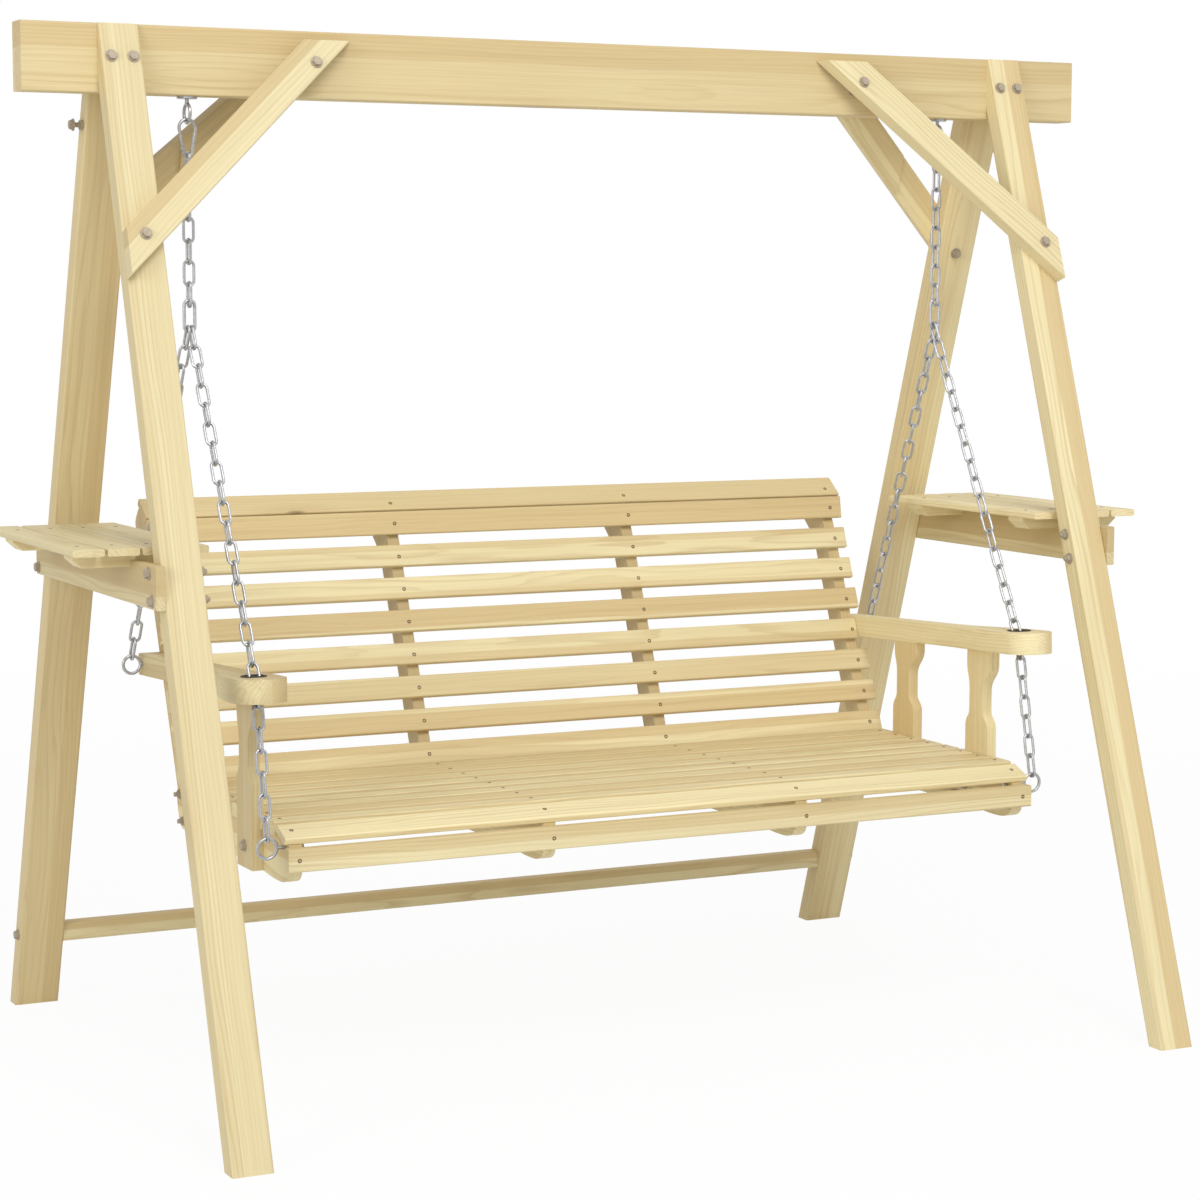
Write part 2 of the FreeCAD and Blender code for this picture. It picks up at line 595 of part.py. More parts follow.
hole_foot = vec(ARM_HOLE[0], ARM_HOLE[1], arm_z - 5)
arm = arm.cut(Part.makeCylinder(ARM_HOLE_RADIUS, ARM_THICKNESS + 10, hole_foot))
arm = arm_rake(arm)

bush_top = vec(ARM_HOLE[0], ARM_HOLE[1], ARM_HOLE_TOP_Z)
bush = Part.makeCylinder(ARM_HOLE_RADIUS - 0.2, BUSH_DEPTH, bush_top - vec(0, 0, BUSH_DEPTH))
bush = bush.fuse(Part.makeCylinder(ARM_HOLE_RADIUS + BUSH_WALL, BUSH_WALL, bush_top))
bush_bore_foot = bush_top - vec(0, 0, BUSH_DEPTH + 6)
bush = bush.cut(Part.makeCylinder(ARM_HOLE_RADIUS - BUSH_WALL, ARM_THICKNESS, bush_bore_foot))
bush = arm_rake(bush.removeSplitter())
nodes["arm_bushes"] = Part.makeCompound([bush, mirror_x(bush)])


# Posts: waisted boards from the joist's side up to the arm
def post_side(y, hand):
    head = (y + hand * POST_TOP_WIDTH / 2, arm_underside_z(y + hand * POST_TOP_WIDTH / 2))
    shoulder = (head[0], POST_SHOULDER_Z)
    waist_top = (y + POST_WAIST_SHIFT + hand * POST_WAIST_WIDTH / 2, POST_WAIST_Z[1])
    waist_foot = (waist_top[0], POST_WAIST_Z[0])
    ankle = (y + POST_FOOT_SHIFT + hand * POST_FOOT_WIDTH / 2, POST_ANKLE_Z)
    foot = (ankle[0], JOIST_BOTTOM_Z)
    upper_z = (POST_SHOULDER_Z + POST_WAIST_Z[1]) / 2
    lower_z = (POST_WAIST_Z[0] + POST_ANKLE_Z) / 2
    edges = [
        side_line(head, shoulder),
        side_curve([shoulder, (shoulder[0], upper_z), (waist_top[0], upper_z), waist_top]),
        side_line(waist_top, waist_foot),
        side_curve([waist_foot, (waist_foot[0], lower_z), (ankle[0], lower_z), ankle]),
        side_line(ankle, foot),
    ]
    return head, foot, edges


for post_name, y in zip(("front", "rear"), POST_Y):
    front_head, front_foot, front_edges = post_side(y, -1)
    rear_head, rear_foot, rear_edges = post_side(y, 1)
    edges = front_edges + rear_edges
    edges.append(side_line(front_head, rear_head))
    edges.append(side_line(front_foot, rear_foot))
    post = side_board(edges, post_x[0], post_x[1])
    nodes["right_" + post_name + "_post"] = post
    nodes["left_" + post_name + "_post"] = mirror_x(post)
    for side_name, side in (("left", -1), ("right", 1)):
        seat = vec(side * post_x[1], y + POST_FOOT_SHIFT, POST_BOLT_Z)
        pair = (side_name + "_" + post_name + "_post", side_name + "_end_joist")
        add_bolt(bench_bolts, seat, X_AXIS * -side, POST_THICKNESS + FRAME_THICKNESS, True, pair)
nodes["bench_bolts"] = Part.makeCompound(bench_bolts)


# Chain pieces
def ring(centre, axis, radius, wire):
    return Part.makeTorus(radius, wire / 2, centre, axis)


def oval_link(wire, width, half):
    radius = (width - wire) / 2
    straight = half - radius
    parts = []
    for end in (-1, 1):
        section = Part.Face(Part.Wire(Part.makeCircle(wire / 2, vec(end * radius, 0, end * straight))))
        parts.append(section.revolve(vec(0, 0, end * straight), vec(0, -1, 0), 180))
        parts.append(rod(vec(end * radius, 0, -straight), vec(end * radius, 0, straight), wire / 2))
    return parts[0].multiFuse(parts[1:]).removeSplitter()


link_half = (LINK_PITCH + LINK_PLAY + WIRE) / 2
link = oval_link(WIRE, LINK_WIDTH, link_half)


def chain_run(top_wire, along, count, across, turn):
    along = vec(along.x, along.y, along.z).normalize()
    flat = (across - along * across.dot(along)).normalize()
    pieces = []
    for index in range(count):
        width = FreeCAD.Rotation(along, index * (90 + turn)).multVec(flat)
        centre = top_wire + along * (link_half + index * LINK_PITCH)
        piece = link.copy()
        piece.Placement = FreeCAD.Placement(centre, FreeCAD.Rotation(width, along.cross(width), along, "ZXY"))
        pieces.append(piece)
    return pieces


# Beam eyes
eye_z = BEAM_BOTTOM_Z - EYE_DROP
eye = ring(vec(CHAIN_X, 0, eye_z), X_AXIS, EYE_RADIUS, HOOK_WIRE)
beam_eye_shank = HOOK_WIRE / 2 + 0.6
neck_top = vec(CHAIN_X, 0, BEAM_BOTTOM_Z + BEAM_EYE_BITE)
neck = rod(vec(CHAIN_X, 0, eye_z + EYE_RADIUS), neck_top, beam_eye_shank)
flange = rod(vec(CHAIN_X, 0, BEAM_BOTTOM_Z - EYE_FLANGE), vec(CHAIN_X, 0, BEAM_BOTTOM_Z), EYE_FLANGE_RADIUS)
beam_eye = eye.multiFuse([neck, flange]).removeSplitter()
nodes["beam_eyes"] = Part.makeCompound([beam_eye, mirror_x(beam_eye)])
for side in (-1, 1):
    bottom = vec(side * CHAIN_X, 0, BEAM_BOTTOM_Z - 1)
    pilot = rod(bottom, bottom + vec(0, 0, BEAM_EYE_BITE + 2), beam_eye_shank + 0.4)
    nodes["top_beam"] = nodes["top_beam"].cut(pilot)

# Snap hooks: pear-shaped wire in the plane facing front, sprung gate on the outer side
hook_top_z = eye_z - EYE_RADIUS + HOOK_WIRE + LINK_PLAY
top_centre = vec(CHAIN_X, 0, hook_top_z - HOOK_TOP_RADIUS)
foot_centre = vec(CHAIN_X, 0, hook_top_z - HOOK_SPAN + HOOK_FOOT_RADIUS)
pear = math.asin((HOOK_TOP_RADIUS - HOOK_FOOT_RADIUS) / (top_centre.z - foot_centre.z))
outward = vec(math.cos(pear), 0, -math.sin(pear))
inward = vec(-math.cos(pear), 0, -math.sin(pear))
side_down = vec(-math.sin(pear), 0, -math.cos(pear))
gate_top = top_centre + outward * HOOK_TOP_RADIUS
gate_foot = foot_centre + outward * HOOK_FOOT_RADIUS
left_top = top_centre + inward * HOOK_TOP_RADIUS
left_foot = foot_centre + inward * HOOK_FOOT_RADIUS
nose_end = gate_top + side_down * 5
pivot = gate_foot - side_down * 6
crown = top_centre + vec(0, 0, HOOK_TOP_RADIUS)
heel = foot_centre - vec(0, 0, HOOK_FOOT_RADIUS)
hook_path = Part.Wire([
    Part.LineSegment(nose_end, gate_top).toShape(),
    Part.Arc(gate_top, crown, left_top).toShape(),
    Part.LineSegment(left_top, left_foot).toShape(),
    Part.Arc(left_foot, heel, gate_foot).toShape(),
    Part.LineSegment(gate_foot, pivot).toShape(),
])
hook_section = Part.Wire(Part.makeCircle(HOOK_WIRE / 2, nose_end, side_down))
hook = hook_path.makePipeShell([hook_section], True, False)
lug = rod(pivot - vec(0, 3.6, 0), pivot + vec(0, 3.6, 0), 3.4)
slot = rod(pivot - vec(0, 1.6, 0), pivot + vec(0, 1.6, 0), 4.6)
pin = rod(pivot - vec(0, 2, 0), pivot + vec(0, 2, 0), 1.1)
hook = hook.fuse(lug).cut(slot).fuse(pin).removeSplitter()
gate_tip = nose_end + side_down * 0.5
gate_bar = rod(gate_tip, pivot - side_down * 5.2, 2.3)
tongue = rod(pivot - vec(0, 1.2, 0), pivot + vec(0, 1.2, 0), 3)
web = rod(pivot - side_down * 6, pivot, 3).common(block(600, 900, -1.2, 1.2, 1400, 1700))
gate = gate_bar.multiFuse([tongue, web]).cut(rod(pivot - vec(0, 5, 0), pivot + vec(0, 5, 0), 1.4))
nodes["right_snap_hook"] = hook
nodes["left_snap_hook"] = mirror_x(hook)
nodes["right_snap_gate"] = gate.removeSplitter()
nodes["left_snap_gate"] = mirror_x(gate.removeSplitter())

# Upper chain, oblong junction ring and the two branches that hang side by side in it
upper_top = vec(CHAIN_X, 0, heel.z + (HOOK_WIRE + WIRE) / 2 + LINK_PLAY)
upper = chain_run(upper_top, Z_AXIS * -1, UPPER_LINKS, Y_AXIS, 0)
upper_wire_z = upper_top.z - link_half * 2 + (WIRE + LINK_PLAY) / 2 - (UPPER_LINKS - 1) * LINK_PITCH
junction_top_z = upper_wire_z + (WIRE + JUNCTION_WIRE) / 2 + LINK_PLAY
junction_half = JUNCTION_PITCH / 2
junction = oval_link(JUNCTION_WIRE, JUNCTION_WIDTH, junction_half + JUNCTION_WIRE / 2)
junction.translate(vec(CHAIN_X, 0, junction_top_z - junction_half))
junction_bend = (JUNCTION_WIDTH - JUNCTION_WIRE) / 2
bend_rise = junction_bend - math.sqrt(junction_bend ** 2 - BRANCH_OFFSET ** 2)
branch_z = junction_top_z - JUNCTION_PITCH + bend_rise
lead = (JUNCTION_WIRE + WIRE) / 2 + 2.5 * LINK_PLAY


def twist(count):
    return 0.0 if count % 2 else 90.0 / (count - 1)


front_x = CHAIN_X - BRANCH_OFFSET
front_start = vec(front_x, 0, branch_z)
front_length = FRONT_LINKS * LINK_PITCH + (WIRE + LINK_PLAY) / 2 - lead
bend_point = vec(front_x, BEND_Y, branch_z - math.sqrt(front_length ** 2 - BEND_Y ** 2))
front_along = (bend_point - front_start).normalize()
front_turn = twist(FRONT_LINKS + FRONT_LOW_LINKS)
front = chain_run(front_start - front_along * lead, front_along, FRONT_LINKS, Y_AXIS, front_turn)
low_length = FRONT_LOW_LINKS * LINK_PITCH - (EYE_WIRE + 3 * LINK_PLAY) / 2
low_drop = math.sqrt(low_length ** 2 - (SEAT_EYE_Y - BEND_Y) ** 2 - (SEAT_EYE_X - front_x) ** 2)
seat_eye_top = vec(SEAT_EYE_X, SEAT_EYE_Y, bend_point.z - low_drop)
low_along = (seat_eye_top - bend_point).normalize()
low_flat = FreeCAD.Rotation(low_along, FRONT_LINKS * (90 + front_turn)).multVec(Y_AXIS)
front = front + chain_run(bend_point - low_along * ((WIRE + 3 * LINK_PLAY) / 2), low_along,
                          FRONT_LOW_LINKS, low_flat, front_turn)

rear_start = vec(CHAIN_X + BRANCH_OFFSET, 0, branch_z)
rear_length = REAR_LINKS * LINK_PITCH + (WIRE - EYE_WIRE) / 2 - lead
rear_drop = branch_z - ARM_EYE_Z - EYE_RADIUS
rear_out = ARM_EYE_X - rear_start.x
arm_eye_y = math.sqrt(rear_length ** 2 - rear_drop ** 2 - rear_out ** 2)
rear_along = (vec(ARM_EYE_X, arm_eye_y, ARM_EYE_Z + EYE_RADIUS) - rear_start).normalize()
rear = chain_run(rear_start - rear_along * lead, rear_along, REAR_LINKS, Y_AXIS, twist(REAR_LINKS))

for name, pieces in (("upper_chain", upper), ("front_chain", front), ("rear_chain", rear)):
    nodes["right_" + name] = Part.makeCompound(pieces)
    nodes["left_" + name] = Part.makeCompound([mirror_x(piece) for piece in pieces])
nodes["junction_rings"] = Part.makeCompound([junction, mirror_x(junction)])

# Screw eyes of the bench
seat_eye_centre = seat_eye_top - vec(0, 0, SEAT_EYE_RADIUS)
arm_eye_centre = vec(ARM_EYE_X, arm_eye_y, ARM_EYE_Z)


def screw_eye(centre, radius, end_x):
    loop = ring(centre, Y_AXIS, radius, EYE_WIRE)
    shank = rod(centre - vec(radius, 0, 0), vec(end_x, centre.y, centre.z), EYE_SHANK_RADIUS)
    return loop.fuse(shank).removeSplitter()


joist_face_x = END_FRAME_X + FRAME_THICKNESS
seat_eye = screw_eye(seat_eye_centre, SEAT_EYE_RADIUS, joist_face_x - EYE_BITE)
arm_eye = screw_eye(arm_eye_centre, EYE_RADIUS, ARM_OUTER_X - EYE_BITE)
nodes["seat_eyes"] = Part.makeCompound([seat_eye, mirror_x(seat_eye)])
nodes["arm_eyes"] = Part.makeCompound([arm_eye, mirror_x(arm_eye)])


def pilot_hole(face_x, centre):
    start = vec(face_x + 1, centre.y, centre.z)
    return rod(start, start - X_AXIS * (EYE_BITE + 2), EYE_PILOT_RADIUS)


seat_pilot = pilot_hole(joist_face_x, seat_eye_centre)
arm_pilot = pilot_hole(ARM_OUTER_X, arm_eye_centre)
nodes["right_end_joist"] = nodes["right_end_joist"].cut(seat_pilot)
nodes["left_end_joist"] = nodes["left_end_joist"].cut(mirror_x(seat_pilot))
arm = arm.cut(arm_pilot)
nodes["right_arm"] = arm
nodes["left_arm"] = mirror_x(arm)

os.makedirs("parts", exist_ok=True)
for name, shape in nodes.items():
    shape.exportStep(os.path.join("parts", name + ".step"))
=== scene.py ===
import json
import math
import bpy
import bmesh
from mathutils import Matrix, Vector

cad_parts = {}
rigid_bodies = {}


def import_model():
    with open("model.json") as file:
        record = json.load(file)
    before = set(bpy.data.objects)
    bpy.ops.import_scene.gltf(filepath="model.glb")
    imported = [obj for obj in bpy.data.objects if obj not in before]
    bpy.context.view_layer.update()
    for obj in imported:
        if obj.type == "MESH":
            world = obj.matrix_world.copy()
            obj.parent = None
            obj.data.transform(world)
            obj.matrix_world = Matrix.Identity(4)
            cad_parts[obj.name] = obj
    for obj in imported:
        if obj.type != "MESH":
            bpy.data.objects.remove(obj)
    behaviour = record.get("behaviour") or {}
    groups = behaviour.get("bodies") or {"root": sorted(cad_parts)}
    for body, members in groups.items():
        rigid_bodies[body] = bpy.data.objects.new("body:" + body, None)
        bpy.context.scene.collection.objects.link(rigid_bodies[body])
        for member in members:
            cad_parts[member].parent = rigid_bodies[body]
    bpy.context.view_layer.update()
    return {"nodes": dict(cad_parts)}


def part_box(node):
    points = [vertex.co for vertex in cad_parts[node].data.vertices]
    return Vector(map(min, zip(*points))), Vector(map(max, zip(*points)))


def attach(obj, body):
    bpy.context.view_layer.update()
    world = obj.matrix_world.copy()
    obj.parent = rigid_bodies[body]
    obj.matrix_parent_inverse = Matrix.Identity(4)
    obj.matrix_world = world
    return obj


for stray in list(bpy.data.objects):
    bpy.data.objects.remove(stray)
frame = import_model()
nodes = frame["nodes"]
scene = bpy.context.scene
X, Y, Z = Vector((1, 0, 0)), Vector((0, 1, 0)), Vector((0, 0, 1))
SIDES = (("left", -1), ("right", 1))
ENDS = (("front", -1), ("rear", 1))

# Camera, metres and radians
CAMERA_AT = Vector((-2.2994, -4.6931, 1.3158))
CAMERA_YAW = 0.4608
CAMERA_PITCH = 0.1059
CAMERA_ROLL = 0.0020
CAMERA_LENS = 89.6
SENSOR_WIDTH = 36

# Lamps: place, aim, diameter in metres, watts
KEY_LAMP = ((-0.8, -7.0, 7.2), (0, 0, 0.8), 4.0, 390)
FILL_LAMP = ((-5.5, -3.0, 2.6), (0, 0, 0.9), 3.0, 88)
AMBIENT = 0.62

# Floor: its half width, and how much plain white covers it from the near to the far radius
FLOOR_REACH = 40
FLOOR_ROUGHNESS = 0.9
WHITE_COVER = 0.94
WHITE_FADE = (1.5, 7.0)

# Linear colours
SAPWOOD = (0.795, 0.692, 0.412, 1)
HEARTWOOD = (0.650, 0.505, 0.260, 1)
LATEWOOD = (0.560, 0.410, 0.195, 1)
KNOT = (0.150, 0.070, 0.028, 1)
ZINC_LIGHT = (0.60, 0.61, 0.63, 1)
ZINC_DARK = (0.27, 0.275, 0.29, 1)
# Bolt colours: a dull grey-brown, partly the zinc's own colour and partly painted shade on the bolts
BOLT_LIGHT = (0.49, 0.42, 0.32, 1)
BOLT_DARK = (0.30, 0.245, 0.175, 1)
SCREW_LIGHT = (0.230, 0.140, 0.070, 1)
SCREW_DARK = (0.090, 0.052, 0.026, 1)
BUSH_DARK = (0.020, 0.013, 0.008, 1)
BUSH_LIGHT = (0.05, 0.035, 0.022, 1)
FLOOR = (0.86, 0.86, 0.85, 1)
WHITE = (1, 1, 1, 1)

# Board directions, from the leans of the parts
LEG_SLOPE = 0.3368
BRACE_LEAN = 0.36
BRACE_RUN = (0.3565, 0.325)
ARM_RAKE = math.radians(2.6)
BACK_UP = Vector((0, 0.40, 1))

# Tan heartwood bands: the direction towards the band, how tan it is, and its edge from the box's middle
ALL_OVER, NOWHERE = -1.0, 1.0
LEG_BANDS = {"left_front": (-X, 0.35, 0.016), "right_front": (X, 0.9, -0.002),
             "left_rear": (X, 1.0, 0.006), "right_rear": (-X, 0.6, 0.016)}
# Painted shadow: the left rear brace is tan heartwood all over, standing for the beam's shadow on it
BRACE_BANDS_AND_SHADOW = {"left_front": (0.9, 0.038), "right_front": (0.3, NOWHERE),
               "left_rear": (1.0, ALL_OVER), "right_rear": (0.8, 0.030)}
POST_BANDS = {"left_front": (0.9, 0.006), "right_front": (0.4, 0.008),
              "left_rear": (0.9, 0.006), "right_rear": (0.9, ALL_OVER)}
ARM_BANDS = {"left": (0.9, 0.006), "right": (0.1, 0.006)}
BEAM_BAND = (Z, 1.0, 0.014)
STRETCHER_BAND = (Z, 1.0, 0.002)
RAIL_BAND = (Z, 1.0, -0.012)
JOIST_BAND = (Z, 0.9, 0.0)
# Painted shade: the uprights are tan heartwood all over, standing for the back slats' shade on them
UPRIGHT_PAINTED_SHADE_BAND = (Y, 1.0, ALL_OVER)
BACK_SLAT_BANDS = (
    (BACK_UP, 0.8, ALL_OVER),
    (BACK_UP, 1.0, ALL_OVER),
    (BACK_UP, 0.6, 0.008),
    (-BACK_UP, 0.6, 0.010),
    (BACK_UP, 1.0, -0.014),
    (-BACK_UP, 0.7, 0.004),
    (BACK_UP, 0.8, NOWHERE),
    (-BACK_UP, 0.9, -0.010),
    (BACK_UP, 0.8, 0.002),
)
NOSE_BAND = (Y, 0.0, NOWHERE)
APRON_BAND = (Z, 0.7, 0.0)
SEAT_BAND = (Y, 1.0, 0.008)
TABLE_BAND = (X, 0.2, 0.006)
BATTEN_BAND = (Y, 1.0, NOWHERE)

# Boards that are darker or paler than the rest: partly their own tone, partly painted light and shade
# (left-hand boards painted darker and right-hand boards paler as the light falls, the nose slat paler under
# light from above, the middle uprights darker in the back slats' shade, the left rear brace darker in the
# beam's shadow)
BOARD_TONES_AND_PAINTED_LIGHT = {
    "top_beam": 0.93, "seat_nose_slat": 1.06, "seat_apron": 0.94,
    "left_front_leg": 0.90, "left_rear_leg": 0.95, "right_rear_leg": 1.08,
    "left_front_brace": 0.92, "left_rear_brace": 0.76, "right_rear_brace": 1.05,
    "left_table_slats": 0.88, "left_table_rail": 0.86, "right_table_slats": 1.08, "right_table_rail": 0.90,
    "left_arm": 0.86, "left_front_post": 0.84, "left_rear_post": 0.84,
    "right_arm": 1.08, "right_front_post": 1.06, "right_rear_post": 1.08,
    "left_middle_upright": 0.86, "right_middle_upright": 0.86,
}

# How much of the heartwood round the pith shows outside the band, and the boards where less of it does
CORE = 0.6
BOARD_CORES = {"left_front_brace": 0.05, "right_rear_brace": 0.2}

# Seeds of the boards, and the stride along the tree that goes with each seed
FIRST_SEED = 1.0
SEED_STEP = 7.3
SEAT_SEED = 301.0
TABLE_SEEDS = {"left": 401.0, "right": 501.0}
BATTEN_SEED = 601.0
SEED_STRIDE = 3.71

# Pine noises: waves per metre along, across and through the grain, then detail
DRIFT = ((1.3, 7.0, 7.0), 2.0)
BOW = ((2.4, 3.0, 0.0), 1.0)
SWAY = ((0.9, 30.0, 30.0), 3.0)
FIBRE = ((5.0, 420.0, 420.0), 3.0)
CLOUD = ((2.1, 16.0, 16.0), 2.0)
VEIN = ((0.8, 75.0, 75.0), 3.0)
KNOT_CELLS = (2.6, 9.0, 4.0)

# Pine growth rings: lengths in metres, and a pair is the slope and the offset of a random length
DRIFT_REACH = 0.035
BOW_REACH = 0.03
PITH_SPREAD = 0.15
PITH_DEPTH = (0.07, 0.025)
RINGS_PER_METRE = 165.0
RING_SWAY = 3.2
HEART_RADIUS = (0.055, 0.030)
HEART_BLUR = 0.003
BAND_DRIFT = 0.35
BAND_BLUR = 0.0015

# Pine strengths: a pair is a start and an end of a step, or a slope and an offset of a share or shade
LATE_RISE = (0.45, 0.92)
LATE_FALL = (0.93, 1.0)
LATE_STEP = (0.35, 0.70)
LATE_SHARE = (0.40, 0.14)
VEIN_STEP = (0.50, 0.74)
VEIN_SHARE = (0.30, 0.15)
CLOUD_STEP = (0.35, 0.75)
CLOUD_SHARE = (0.32, 0.10)
KNOT_CHANCE = 0.72
KNOT_STEP = (0.045, 0.085)
KNOT_SHARE = 0.8
HALO_STEP = (0.06, 0.30)
HALO_SHARE = 0.45
FIBRE_SHADE = (0.22, 0.89)
BOARD_SHADE = (0.06, 0.97)
WOOD_ROUGHNESS = (0.20, 0.50)
LATE_GLOSS = 0.08
FIBRE_HEIGHT = 0.6
LATE_HEIGHT = 0.5
WOOD_SPECULAR = 0.35
WOOD_BUMP = (0.35, 0.0006)

# Metal finishes: light and dark colour, wear, metallic, least roughness
CHAIN_FINISH = (ZINC_LIGHT, ZINC_DARK, 0.45, 0.85, 0.25)
BOLT_FINISH_AND_PAINTED_SHADE = (BOLT_LIGHT, BOLT_DARK, 0.5, 0.3, 0.48)
SCREW_FINISH = (SCREW_LIGHT, SCREW_DARK, 0.6, 0.3, 0.40)
SPANGLE_SCALE = 420.0
SPANGLE_SHARE = 0.35
WEAR_NOISE = (90.0, 3.0)
WEAR_ROUGHNESS = 0.25
METAL_BUMP = (0.15, 0.0003)
MOULD_NOISE = (600.0, 2.0)
MOULD_ROUGHNESS = (0.2, 0.4)

# Softened edges, metres
BOARD_EDGE = 0.0015
BATTEN_EDGE = 0.001
METAL_EDGE = 0.0006
WELD_REACH = 0.00002
EDGE_SEGMENTS = 2
EDGE_ANGLE = math.radians(40)

# Rows of slats in one node, metres
SEAT_SLATS = 8
SEAT_GAP = 0.006
TABLE_SLATS = 4
TABLE_GAP = 0.005
BATTEN_ROWS = (-1.0, 0.25)

# Screws, metres
FRAME_X = (-0.677, -0.237, 0.237, 0.677)
TABLE_SCREW_Y = (-0.185, 0.155)
RAY_STANDOFF = 0.2
SCREW_RADIUS = 0.0036
SCREW_DOME = 0.0007
SCREW_RINGS = 6
SCREW_SPOKES = 24
SCREW_SKIRT = 0.0015
CROSS_HALF_WIDTH = 0.0006
CROSS_REACH = 0.0024
CROSS_DEPTH = 0.0015
CROSS_CENTRE_DEPTH = 0.0018

# Nuts on the table rails' bolts inside the front legs: y and z, then radius and height of each ring
NUT_PLACES = ((-0.3131, 0.828), (-0.2990, 0.870))
NUT_RAY_X = 0.5
NUT_TURN = 0.4
NUT_TURN_STEP = 0.5
WASHER_RINGS = ((0.0100, -0.0003), (0.0100, 0.0014), (0.0096, 0.0018))
WASHER_SIDES = 36
NUT_RINGS = ((0.0072, 0.0016), (0.0075, 0.0019), (0.0075, 0.0068), (0.0068, 0.0076))
NUT_SIDES = 6
THREAD_RINGS = ((0.0040, 0.0070), (0.0040, 0.0108), (0.0032, 0.0118))
THREAD_SIDES = 28


# Node helpers
class Tree:
    def __init__(self, tree):
        self.tree = tree

    def add(self, kind, **settings):
        node = self.tree.nodes.new(kind)
        for key, value in settings.items():
            setattr(node, key, value)
        return node

    def plug(self, source, socket):
        if isinstance(source, bpy.types.NodeSocket):
            self.tree.links.new(source, socket)
        else:
            socket.default_value = source

    def math(self, operation, a, b=0.0):
        node = self.add("ShaderNodeMath", operation=operation)
        self.plug(a, node.inputs[0])
        self.plug(b, node.inputs[1])
        return node.outputs[0]

    def line(self, value, slope, offset):
        return self.math("ADD", self.math("MULTIPLY", value, slope), offset)

    def centred(self, value, reach):
        return self.math("MULTIPLY", self.math("SUBTRACT", value, 0.5), reach)

    def rest(self, value):
        return self.math("SUBTRACT", 1.0, value)

    def combine(self, x, y, z):
        node = self.add("ShaderNodeCombineXYZ")
        for value, socket in zip((x, y, z), node.inputs):
            self.plug(value, socket)
        return node.outputs[0]

    def split(self, colour):
        node = self.add("ShaderNodeSeparateColor")
        self.plug(colour, node.inputs[0])
        return node.outputs[0], node.outputs[1], node.outputs[2]

    def waves(self, point, counts):
        return self.combine(*[self.math("MULTIPLY", value, count) for value, count in zip(point, counts)])

    def noise(self, vector, scale, detail):
        node = self.add("ShaderNodeTexNoise")
        self.plug(vector, node.inputs["Vector"])
        node.inputs["Scale"].default_value = scale
        node.inputs["Detail"].default_value = detail
        return node.outputs["Fac"]

    def grain(self, point, counts, detail):
        return self.noise(self.waves(point, counts), 1.0, detail)

    def step(self, value, low, high):
        node = self.add("ShaderNodeMapRange", interpolation_type="SMOOTHSTEP")
        self.plug(value, node.inputs["Value"])
        self.plug(low, node.inputs["From Min"])
        self.plug(high, node.inputs["From Max"])
        return node.outputs["Result"]

    def mix(self, factor, a, b, blend="MIX"):
        node = self.add("ShaderNodeMix", data_type="RGBA", blend_type=blend)
        self.plug(factor, node.inputs[0])
        self.plug(a, node.inputs[6])
        self.plug(b, node.inputs[7])
        return node.outputs[2]

    def dot(self, vector, axis):
        node = self.add("ShaderNodeVectorMath", operation="DOT_PRODUCT")
        self.plug(vector, node.inputs[0])
        node.inputs[1].default_value = axis
        return node.outputs["Value"]

    def bump(self, shader, height, strength, distance):
        node = self.add("ShaderNodeBump")
        node.inputs["Strength"].default_value = strength
        node.inputs["Distance"].default_value = distance
        self.plug(height, node.inputs["Height"])
        self.plug(node.outputs["Normal"], shader.inputs["Normal"])

    def seen(self):
        rays = self.add("ShaderNodeLightPath").outputs
        mirrored = self.math("MAXIMUM", rays["Is Glossy Ray"], rays["Is Transmission Ray"])
        return self.math("MAXIMUM", rays["Is Camera Ray"], mirrored)


def new_material(name):
    material = bpy.data.materials.new(name)
    material.use_nodes = True
    tree = Tree(material.node_tree)
    return material, tree, material.node_tree.nodes["Principled BSDF"]


def middle_of(name):
    low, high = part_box(name)
    return (Vector(low) + Vector(high)) / 2
